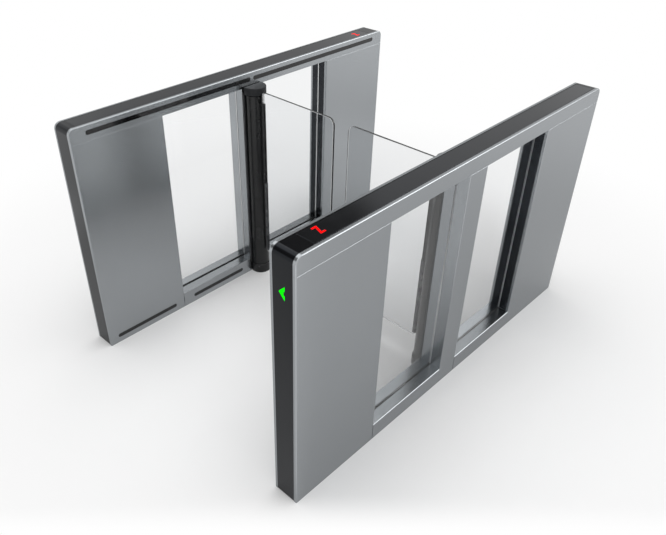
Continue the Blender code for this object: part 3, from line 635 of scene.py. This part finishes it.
def arrowOutline(shrink):
    # an arrow head that points to the lane, with a square notch in its tail
    x, z = signs["arrowPlace"]
    wide, tall = signs["arrowHalf"]
    deep, half = signs["arrowNotch"]
    tip, tail, notch = wide - 2 * shrink, -wide + shrink, -wide + deep + shrink
    top, side = tall - 2 * shrink, half + shrink
    shape = np.array([[tip, 0], [tail, top], [tail, side], [notch, side],
                      [notch, -side], [tail, -side], [tail, -top]])
    return shape + [x + (arrowHigh[0] + arrowLow[0]) / 2, z + (arrowHigh[2] + arrowLow[2]) / 2]


def zigzagOutline(shrink):
    # a stroke of even width along a line that runs forward, back across and forward again
    (across, along), bend = signs["zigzagHalf"], signs["zigzagBend"]
    line = np.array([[across, along], [across, -bend], [-across, bend], [-across, -along]])
    steps = np.diff(line, axis=0)
    steps /= np.linalg.norm(steps, axis=1)[:, None]
    normals = np.stack([-steps[:, 1], steps[:, 0]], axis=1)
    mitres = normals[:-1] + normals[1:]
    mitres /= (mitres * normals[:-1]).sum(axis=1)[:, None]
    reach = np.concatenate([normals[:1], mitres, normals[-1:]]) * (signs["zigzagStroke"] / 2 - shrink)
    line[[0, -1]] += [[0, -shrink], [0, shrink]]
    middle = (zigzagHigh[:2] + zigzagLow[:2]) / 2 + signs["zigzagPlace"]
    return np.concatenate([line + reach, (line - reach)[::-1]]) + middle


arrowHole = prism(arrowOutline(0), "Y", halfLength - trimHalf, halfLength + trimHalf)
put("entry_cover_bend", cutBy(coverBend(coverLow[1]), arrowHole), coverBlack, "entry_cover",
    trim["softEdge"])
put("exit_cover_bend", flipped(coverBend(-exitHigh[1])), coverBlack, "exit_cover",
    trim["softEdge"])
zigzagHole = prism(zigzagOutline(0), "Z", height - trimHalf, height + trimHalf)
lidGap = np.array([trim["lidGap"], 0, 0])
lidPlate = cutBy(block(lidLow + lidGap, lidHigh - lidGap), zigzagHole)
put("lid_plate", lidPlate, blackGloss, "lid", trim["softEdge"])
liner = block(linerLow, linerHigh)
put("entry_liner_plate", liner, blackGloss, "entry_liner", trim["softEdge"])
put("exit_liner_plate", flipped(liner), blackGloss, "exit_liner", trim["softEdge"])

arrowBoard = block(arrowLow, (arrowHigh[0], halfLength - trim["cover"] - casing["gap"], arrowHigh[2]))
arrowFace = prism(arrowOutline(signs["clearance"]), "Y",
                  arrowLow[1] + signs["backing"], halfLength - signs["sink"])
put("arrow_light", together(arrowBoard, arrowFace), greenSign, "arrow_sign")
zigzagBoard = block(zigzagLow, (zigzagHigh[0], zigzagHigh[1], lidLow[2] - casing["gap"]))
zigzagFace = prism(zigzagOutline(signs["clearance"]), "Z",
                   zigzagLow[2] + signs["backing"], height - signs["sink"])
put("zigzag_light", together(zigzagBoard, zigzagFace), redSign, "lid_sign")
print("trim and signs made")

paneLow, paneHigh = localBox("entry_pane")
seal = {
    "foot": 0.0020,          # thickness of the seals under and over the glass
    "footHeight": 0.0025,
    "headHeight": 0.002,
    "bead": 0.0012,          # width and thickness of the beads at its upright edges
    "clearance": 0.0001,     # between a seal and the glass or the steel
    "paneEdge": 0.0008,      # rounding of the edges of the glass
    "footEdge": 0.0006,      # of the seals
    "beadEdge": 0.0004,      # and of the beads
}


def beside(thickness, low, high):
    # a strip on each face of the pane, from the glass outwards
    glass = paneHigh[0] + seal["clearance"]
    strip = block((glass, low[0], low[1]), (glass + thickness, high[0], high[1]))
    return together(strip, flipped(strip, axis=0))


pane = block(paneLow, paneHigh)
sealFoot = sillTop + seal["footHeight"]
sealHead = railFoot - seal["headHeight"]
footSeal = beside(seal["foot"], (paneLow[1], sillTop + seal["clearance"]), (paneHigh[1], sealFoot))
headSeal = beside(seal["foot"], (paneLow[1], sealHead), (paneHigh[1], railFoot - seal["clearance"]))
innerBead = beside(seal["bead"], (paneLow[1], sealFoot), (paneLow[1] + seal["bead"], sealHead))
outerBead = beside(seal["bead"], (paneHigh[1] - seal["bead"], sealFoot), (paneHigh[1], sealHead))
for name, turn in (("entry", lambda mesh: mesh), ("exit", flipped)):
    put(f"{name}_window", turn(pane), paneGlass, f"{name}_pane", seal["paneEdge"])
    put(f"{name}_window_seal", turn(together(footSeal, headSeal)), blackRubber,
        soft=seal["footEdge"])
    # pale beads: a seal, and a painted highlight along the glass's upright edges
    put(f"{name}_window_bead", turn(together(innerBead, outerBead)), sealAndGlint,
        soft=seal["beadEdge"])
print("windows made")


def lensBar(low, high, spans, centre):
    # a bar behind the steel, and a lens with a soft rim in each slot
    front = halfWidth - casing["sheet"] - casing["gap"]
    bar = block(low, (front, high[1], high[2]))
    faces = []
    for start, end in spans:
        outline = slotOutline(start + casing["gap"], end - casing["gap"], centre,
                              lenses["height"] - 2 * casing["gap"])
        lens = prism(outline, "X", front - casing["sheet"], halfWidth - lenses["sink"])
        faces.append(soften(lens, lambda point: point.x > halfWidth - casing["sheet"],
                            lenses["rim"], lenses["rimSteps"]))
    return together(bar, *faces)


topSpans = [topLens, (-topLens[1], -topLens[0])]
put("top_lens_bar", lensBar(topBarLow, topBarHigh, topSpans, topLensCentre), lensDark,
    "top_sensor_bar")
lowLensBar = lensBar(lowBarLow, lowBarHigh, [sillLens, panelLens], lowLensCentre)
put("entry_low_lens_bar", lowLensBar, lensDark, "entry_low_sensor")
put("exit_low_lens_bar", flipped(lowLensBar), lensDark, "exit_low_sensor")
print("lenses made")

# the turning post and its leaf, in the same coordinates
tubeLow, tubeHigh = localBox("post_tube")
capLow, capHigh = localBox("post_cap")
collarLow, collarHigh = localBox("post_collar")
clampLow, clampHigh = localBox("leaf_clamp")
glassLow, glassHigh = localBox("leaf_glass")
backLow, backHigh = localBox("post_back")
tubeRadius = (tubeHigh[1] - tubeLow[1]) / 2

post = {
    "roundSteps": 128,
    "tubeWall": 0.0025,
    "tubeSoft": 0.0008,
    "capFoot": backHigh[2] + casing["gap"],
    "capNoseSteps": 64,
    "capFillet": 0.0035,
    "capFilletSteps": 8,
    "capSoft": 0.0004,         # rounding of its other edges
    "capStandoff": 0.0035,     # from the steel
    "capSkirt": 0.004,         # the cap's rim hangs this far below its foot
    "skirtClearance": 0.0008,
    "shadowGap": 0.0047,       # between the rim and the tube
    "collarGap": 0.0015,       # between the tube and the collar
    "collarFillet": 0.004,
    "collarFilletSteps": 10,
    "backClearance": 0.0015,
    "backSteps": 48,
    "backSoft": 0.0006,
    "screwRadius": 0.0027,
    "screwAngle": 0.9,         # the collar's screws stand this far round from the lane side
    "screwDrop": 0.010,        # and this far below its top
    "screwSink": 0.0002,
}
clamp = {
    "slot": 0.0053,            # half the width of the slot for the glass
    "cornerRadius": 0.0025,
    "cornerSteps": 6,
    "seatSteps": 16,
    "softEdge": 0.0006,
    "screwRadius": 0.0026,
    "screwCount": 4,
    "screwSink": 0.0001,
}
leaf = {"cornerRadius": 0.030, "postCornerRadius": 0.011, "cornerSteps": 24, "arris": 0.0011}
edgeSeal = {"wall": 0.0008, "reach": 0.0115, "clearance": 0.0002}
screw = {
    "rim": 0.2,                # this and the next three are shares of the head's radius
    "rimHeight": 0.3025,
    "socket": 0.5,
    "socketFoot": 0.165,
    "rimSteps": 5,
    "roundSteps": 32,
}
collarTop = tubeLow[2] - post["collarGap"]


def makeTube():
    # an open tube whose rims are slightly rounded
    outer, inner, soft = tubeRadius, tubeRadius - post["tubeWall"], post["tubeSoft"]
    top = post["capFoot"] - post["capSkirt"] - post["shadowGap"]
    profile = [(outer - soft, top), (outer, top - soft), (outer, tubeLow[2] + soft),
               (outer - soft, tubeLow[2]), (inner, tubeLow[2]), (inner, top)]
    return lathe(profile, post["roundSteps"], (postAxis, 0))


def makeCap():
    # a D that runs back almost to the steel, its top rim round and its skirt hollow, over a tongue
    radius = capHigh[1]
    face = halfWidth + post["capStandoff"]
    nose = arc((postAxis, 0), radius, -math.pi / 2, math.pi / 2, post["capNoseSteps"])
    outline = np.concatenate([[[face, -radius]], nose, [[face, radius]]])
    skirtFoot = post["capFoot"] - post["capSkirt"]
    head = prism(outline, "Z", skirtFoot, capHigh[2])
    filletFoot = capHigh[2] - post["capFillet"]
    head = soften(head, lambda point: point.z > filletFoot and point.x > face + casing["gap"],
                  post["capFillet"], post["capFilletSteps"])
    hollowRadius = tubeRadius + post["skirtClearance"]
    hollow = [(0, post["capFoot"]), (hollowRadius, post["capFoot"]), (hollowRadius, skirtFoot - radius),
              (0, skirtFoot - radius)]
    head = cutBy(head, lathe(hollow, post["roundSteps"], (postAxis, 0)))
    tongue = block((capLow[0], -mullionEdge + 2 * casing["sheet"], post["capFoot"]),
                   (postAxis - tubeRadius / 2, mullionEdge - 2 * casing["sheet"], railFoot - casing["gap"]))
    return together(head, tongue)


def makeCollar():
    # a round foot with a round top rim
    radius, fillet = collarHigh[1], post["collarFillet"]
    rim = arc((radius - fillet, collarTop - fillet), fillet, math.pi / 2, 0, post["collarFilletSteps"])
    profile = np.concatenate([[[0, collarTop]], rim, [[radius, 0], [0, 0]]])
    return lathe(profile, post["roundSteps"], (postAxis, 0))


def makeBack():
    # the block in the steel's mouth, hollowed round the tube
    hollowRadius = tubeRadius + post["backClearance"]
    reach = math.acos((halfWidth - postAxis) / hollowRadius)
    hollow = arc((postAxis, 0), hollowRadius, 2 * math.pi - reach, reach, post["backSteps"])
    shoulder = mullionHigh[0] + casing["gap"]
    inside = mullionEdge - casing["sheet"] - casing["gap"]
    outline = np.concatenate([
        [[halfWidth, mullionEdge], [shoulder, mullionEdge], [shoulder, inside], [backLow[0], inside],
         [backLow[0], -inside], [shoulder, -inside], [shoulder, -mullionEdge], [halfWidth, -mullionEdge]],
        hollow])
    return prism(outline, "Z", backLow[2], backHigh[2])


def makeClamp():
    # a bar with a round back against the tube and a slot for the glass; the last two corners
    # of its front only guide the round ones beside them
    half = clampHigh[1]
    seat = tubeRadius + casing["gap"]
    angle = math.asin(half / seat)
    slot, slotEnd = clamp["slot"], glassLow[0] - postAxis - casing["gap"]
    tip = clampHigh[0] - postAxis
    radius = clamp["cornerRadius"]
    front = rounded([(tip, -half, radius), (tip, -slot, 0), (slotEnd, -slot, 0), (slotEnd, slot, 0),
                     (tip, slot, 0), (tip, half, radius), (seat, half, 0), (seat, -half, 0)],
                    clamp["cornerSteps"])[:-2]
    outline = np.concatenate([arc((0, 0), seat, angle, -angle, clamp["seatSteps"]), front])
    return prism(outline + [postAxis, 0], "Z", clampLow[2], clampHigh[2])


def makeLeaf():
    # a clear plate with four round corners, the two beside the post smaller
    radius, small = leaf["cornerRadius"], leaf["postCornerRadius"]
    (x0, y0, z0), (x1, y1, z1) = glassLow, glassHigh
    corners = [(x0, z0, small), (x1, z0, radius), (x1, z1, radius), (x0, z1, small)]
    return prism(rounded(corners, leaf["cornerSteps"]), "Y", y0, y1)


def makeEdgeSeal():
    # a thin U round the leaf's edge beside the post, below the clamp
    near = glassHigh[1] + edgeSeal["clearance"]
    far = near + edgeSeal["wall"]
    back = glassLow[0] - edgeSeal["clearance"]
    outside = back - edgeSeal["wall"]
    tip = glassLow[0] + edgeSeal["reach"]
    outline = np.array([[tip, far], [outside, far], [outside, -far], [tip, -far],
                        [tip, -near], [back, -near], [back, near], [tip, near]])
    return prism(outline, "Z", glassLow[2] + leaf["postCornerRadius"], clampLow[2] - casing["gap"])


def screwHead(radius):
    # a low round head, domed at its rim, with a six-sided socket, facing up at the origin
    fillet = radius * screw["rim"]
    rim = arc((radius - fillet, radius * screw["rimHeight"]), fillet, math.pi / 2, 0, screw["rimSteps"])
    profile = np.concatenate([[[0, rim[0, 1]]], rim, [[radius, 0], [0, 0]]])
    hexagon = arc((0, 0), radius * screw["socket"], 0, 2 * math.pi, 6)[:-1]
    socket = prism(hexagon, "Z", radius * screw["socketFoot"], radius)
    return cutBy(lathe(profile, screw["roundSteps"]), socket)


def turnedTo(mesh, direction, place):
    # a piece that faces up, turned to face a direction and moved to its place
    turn = Vector((0, 0, 1)).rotation_difference(Vector(direction)).to_matrix().to_4x4()
    copy = mesh.copy()
    copy.transform(Matrix.Translation(place) @ turn)
    return copy


put("tube_skin", makeTube(), blackSatin, "post_tube", leaf=True)
put("cap_cover", makeCap(), capBlack, "post_cap", post["capSoft"])
put("collar_foot", makeCollar(), blackSatin, "post_collar")
# the block's lighter grey is painted light on its shaded side
put("post_back_block", makeBack(), backLiftedGrey, "post_back", post["backSoft"])
put("clamp_bar", makeClamp(), blackSatin, "leaf_clamp", clamp["softEdge"], leaf=True)
put("leaf_plate", makeLeaf(), leafGlass, "leaf_glass", leaf["arris"], leaf=True)
put("leaf_edge_seal", makeEdgeSeal(), sealGrey, leaf=True)

collarScrew = screwHead(post["screwRadius"])
collarScrews = []
for angle in (-post["screwAngle"], post["screwAngle"]):
    direction = (math.cos(angle), math.sin(angle), 0)
    reach = collarHigh[1] - post["screwSink"]
    place = (postAxis + reach * direction[0], reach * direction[1], collarTop - post["screwDrop"])
    collarScrews.append(turnedTo(collarScrew, direction, place))
put("collar_screws", together(*collarScrews), screwBlack)

clampScrew = screwHead(clamp["screwRadius"])
clampScrews = []
spacing = (clampHigh[2] - clampLow[2]) / clamp["screwCount"]
for index in range(clamp["screwCount"]):
    level = clampLow[2] + spacing * (index + 0.5)
    for way in (-1, 1):
        place = ((glassLow[0] + clampHigh[0]) / 2, way * (clampHigh[1] - clamp["screwSink"]), level)
        clampScrews.append(turnedTo(clampScrew, (0, way, 0), place))
put("clamp_screws", together(*clampScrews), screwBlack, leaf=True)

dress(platedSteel, "base_plate")
dress(machineGrey, "controller_box", "drive_unit")
dress(groundSteel, "drive_hub", "upper_bearing", "lower_bearing")
print("posts and leaves made")

studio = {
    "floorRings": (0.0, 4.0, 12.0, 60.0),
    "floorSides": 64,
    "floorDrop": 0.0002,     # the floor lies this far below the gate's feet
    "floorGrey": 0.80,       # what the floor gives back to other surfaces
    "floorWhite": 0.98,      # what it shows
    "glowSeen": 0.05,        # how much of what it shows near the gate is its own white, to the eye
    "glowMirrored": 0.50,    # and in steel and gloss
    "seenNear": 0.93,        # how bright that white is near the gate, to the eye
    "mirroredNear": 0.62,    # and in steel and gloss
    "mirroredFar": 1.08,     # and there, far from the gate
    "whiteFrom": 0.8,        # to the eye the floor fades to white between these distances
    "whiteTo": 2.4,
    "mirroredFrom": 0.9,     # and in steel and gloss between these
    "mirroredTo": 3.4,
    "foreground": (-0.7055, 0.7087, 0.0),   # and before these places along this direction
    "foregroundFrom": -0.97,
    "foregroundTo": -1.14,
    "cards": (               # places, radii and gains of bright cards that only steel and gloss show
        ((1.90, -2.10, 0.0), 1.10, 1.2),
        ((0.10, 1.20, 0.0), 0.95, 0.46),
        ((-0.80, -0.28, 0.0), 0.40, 0.7),
        ((-1.25, -0.62, 0.0), 0.45, 0.7),
        ((-1.80, -1.05, 0.0), 0.55, 0.7),
    ),
    "keySize": 4.0,
    "keyPlace": (0.0, 0.0, 4.5),
    "keyTarget": (0.0, 0.0, 0.4),
    "keyPower": 92.0,
    "nookReach": 0.45,       # painted shade: the floor's colour darkens where something stands within this distance
    "nookShade": 0.26,
    "nookSamples": 8,
    "laneShade": 0.29,       # and a painted shadow in the lane beside the right cabinet
    "laneLeft": (-0.38, 0.20),    # x between which it sets in
    "laneRight": (0.50, 0.60),    # x between which it ends
    "laneNear": (-1.10, 0.10),    # y between which it sets in
    "laneEnd": (1.20, 1.60),      # x + y between which it ends
}
sky = {
    "even": 0.66,            # what lights the scene from all sides
    "seen": 1.0,             # what the eye and the glass see
    "mirrored": 1.15,        # what steel and gloss see
    "highFrom": 0.57,        # and more above this height of sight
    "highTo": 0.68,
    "highGain": 1.6,
    "places": (              # direction, turns between which it fades, and its gain inside
        ((-0.565, 0.606, 0.559), 0.09, 0.12, 0.20),
        ((-0.620, 0.710, 0.340), 0.25, 0.46, 0.68),
        ((-0.760, 0.550, 0.335), 0.17, 0.27, 0.76),
        ((0.660, 0.730, 0.290), 0.22, 0.38, 4.5),
        ((-0.577, -0.580, 0.575), 0.25, 0.45, 0.15),
    ),
}


def floorDisc():
    # a wide disc of rings
    rings = np.array(studio["floorRings"])
    angle = np.linspace(0, 2 * math.pi, studio["floorSides"], endpoint=False)
    level = np.full((len(rings), len(angle)), -studio["floorDrop"])
    points = np.stack([np.outer(rings, np.cos(angle)), np.outer(rings, np.sin(angle)), level], axis=2)
    row = np.arange(len(angle))
    after = np.roll(row, -1)
    faces = []
    for ring in range(len(rings) - 1):
        inner, outer = len(angle) * ring, len(angle) * (ring + 1)
        faces += np.stack([row + inner, row + outer, after + outer, after + inner], axis=1).tolist()
    return meshFrom(points.reshape(-1, 3), faces)


def floorFar(tree, place, mirrored):
    # 0 near the gate, 1 far from it and in the foreground
    distance = node(tree, "VectorMath", "LENGTH", at0=place).outputs["Value"]
    forward = node(tree, "VectorMath", "DOT_PRODUCT", at0=place, at1=studio["foreground"]).outputs["Value"]
    fadeStart = faded(tree, mirrored, 0, 1, studio["whiteFrom"], studio["mirroredFrom"])
    fadeEnd = faded(tree, mirrored, 0, 1, studio["whiteTo"], studio["mirroredTo"])
    return reckon(tree, "MAXIMUM", faded(tree, distance, fadeStart, fadeEnd, 0, 1),
                  faded(tree, forward, studio["foregroundTo"], studio["foregroundFrom"], 1, 0))


def floorWhite(tree, place, mirrored, far):
    # the strength of its own white, with the cards that only steel and gloss show
    near = faded(tree, mirrored, 0, 1, studio["seenNear"], studio["mirroredNear"])
    farther = faded(tree, mirrored, 0, 1, 1.0, studio["mirroredFar"])
    strength = node(tree, "MapRange", Value=far, To_Min=near, To_Max=farther).outputs["Result"]
    for spot, radius, gain in studio["cards"]:
        fromSpot = node(tree, "VectorMath", "DISTANCE", at0=place, at1=spot).outputs["Value"]
        card = faded(tree, fromSpot, 0, radius, gain, 0)
        strength = reckon(tree, "ADD", strength, reckon(tree, "MULTIPLY", card, mirrored))
    return strength


def floorPaintedShade(tree, place):
    # the floor's colour with painted shade where something stands near it, and a painted shadow in the lane
    nook = node(tree, "AmbientOcclusion", Distance=studio["nookReach"])
    nook.samples = studio["nookSamples"]
    paintedNook = node(tree, "MapRange", Value=nook.outputs["AO"], To_Min=1 - studio["nookShade"]).outputs["Result"]
    x, y = node(tree, "SeparateXYZ", Vector=place).outputs[:2]
    across = reckon(tree, "MULTIPLY", faded(tree, x, *studio["laneLeft"], 0, studio["laneShade"]),
                    faded(tree, x, *studio["laneRight"], 1, 0))
    along = reckon(tree, "MULTIPLY", faded(tree, y, *studio["laneNear"], 0, 1),
                   faded(tree, reckon(tree, "ADD", x, y), *studio["laneEnd"], 1, 0))
    lane = reckon(tree, "MULTIPLY", across, along)
    return reckon(tree, "MULTIPLY", paintedNook, reckon(tree, "SUBTRACT", 1.0, lane))


def floorMaterial():
    # its own shade and painted shade near the gate, white far away and in the foreground
    material = bpy.data.materials.new("studio_floor")
    material.use_nodes = True
    tree = material.node_tree
    tree.nodes.clear()
    path = node(tree, "LightPath").outputs
    mirrored = reckon(tree, "GREATER_THAN", path["Is Glossy Ray"], path["Is Transmission Ray"])
    seen = reckon(tree, "MAXIMUM", path["Is Camera Ray"], path["Is Transmission Ray"])
    shown = reckon(tree, "MAXIMUM", seen, path["Is Glossy Ray"])
    place = node(tree, "TexCoord").outputs["Object"]
    far = floorFar(tree, place, mirrored)
    glow = faded(tree, mirrored, 0, 1, studio["glowSeen"], studio["glowMirrored"])
    share = node(tree, "MapRange", Value=far, To_Min=glow, To_Max=1.0).outputs["Result"]
    grey = faded(tree, shown, 0, 1, studio["floorGrey"], studio["floorWhite"])
    # the floor's colour carries the painted shade and the painted shadow
    albedo = reckon(tree, "MULTIPLY", grey, floorPaintedShade(tree, place))
    diffuse = node(tree, "BsdfDiffuse", Color=albedo).outputs["BSDF"]
    white = node(tree, "Emission", Strength=floorWhite(tree, place, mirrored, far)).outputs["Emission"]
    mixed = node(tree, "MixShader", at0=reckon(tree, "MULTIPLY", share, shown), at1=diffuse, at2=white)
    node(tree, "OutputMaterial", Surface=mixed.outputs["Shader"])
    return material


def makeFloor():
    mesh = floorDisc()
    mesh.materials.append(floorMaterial())
    floor = addObject("studio_floor", mesh)


def makeWorld():
    # even light for the scene, white for the eye, and a pale room with dark and bright places for gloss
    world = bpy.data.worlds.new("studio")
    bpy.context.scene.world = world
    world.use_nodes = True
    tree = world.node_tree
    tree.nodes.clear()
    path = node(tree, "LightPath").outputs
    sight = node(tree, "TexCoord").outputs["Generated"]
    upward = node(tree, "SeparateXYZ", Vector=sight).outputs["Z"]
    gloss = faded(tree, upward, sky["highFrom"], sky["highTo"],
                  sky["mirrored"], sky["mirrored"] * sky["highGain"])
    for direction, start, end, gain in sky["places"]:
        turn = node(tree, "VectorMath", "DISTANCE", at0=sight, at1=Vector(direction).normalized())
        gloss = reckon(tree, "MULTIPLY", gloss, faded(tree, turn.outputs["Value"], start, end, gain, 1))
    unseen = node(tree, "Mix", Factor=path["Is Glossy Ray"], A=sky["even"], B=gloss).outputs["Result"]
    seen = reckon(tree, "MAXIMUM", path["Is Camera Ray"], path["Is Transmission Ray"])
    strength = node(tree, "Mix", Factor=seen, A=unseen, B=sky["seen"]).outputs["Result"]
    background = node(tree, "Background", Color=(1, 1, 1, 1), Strength=strength)
    node(tree, "OutputWorld", Surface=background.outputs["Background"])


def addSoftbox(name, place, target, size, power):
    # a square lamp that looks at a target and that gloss doesn't show
    lamp = bpy.data.lights.new(name, "AREA")
    lamp.shape = "SQUARE"
    lamp.size = size
    lamp.energy = power
    obj = addObject(name, lamp)
    obj.location = place
    obj.rotation_euler = (Vector(target) - Vector(place)).to_track_quat("-Z", "Y").to_euler()
    obj.visible_glossy = False


makeFloor()
makeWorld()
addSoftbox("key", studio["keyPlace"], studio["keyTarget"], studio["keySize"], studio["keyPower"])

view = {
    "place": (1.6009, -1.8432, 1.9330),
    "azimuth": 44.87,
    "down": 35.07,
    "focalPixels": 681.86,
    "imageWidth": 666,
    "sensorWidth": 36.0,
    "centre": (-35.16, 2.63),   # where the lens's axis meets the picture, in pixels from its middle
}
camera = bpy.data.cameras.new("camera")
camera.sensor_width = view["sensorWidth"]
camera.lens = view["focalPixels"] / view["imageWidth"] * camera.sensor_width
camera.shift_x = -view["centre"][0] / view["imageWidth"]
camera.shift_y = view["centre"][1] / view["imageWidth"]
cameraObject = addObject("camera", camera)
cameraObject.location = view["place"]
cameraObject.rotation_euler = (math.radians(90 - view["down"]), 0, math.radians(view["azimuth"]))
bpy.context.scene.camera = cameraObject
bpy.context.scene.view_settings.view_transform = "Standard"
print("studio made")
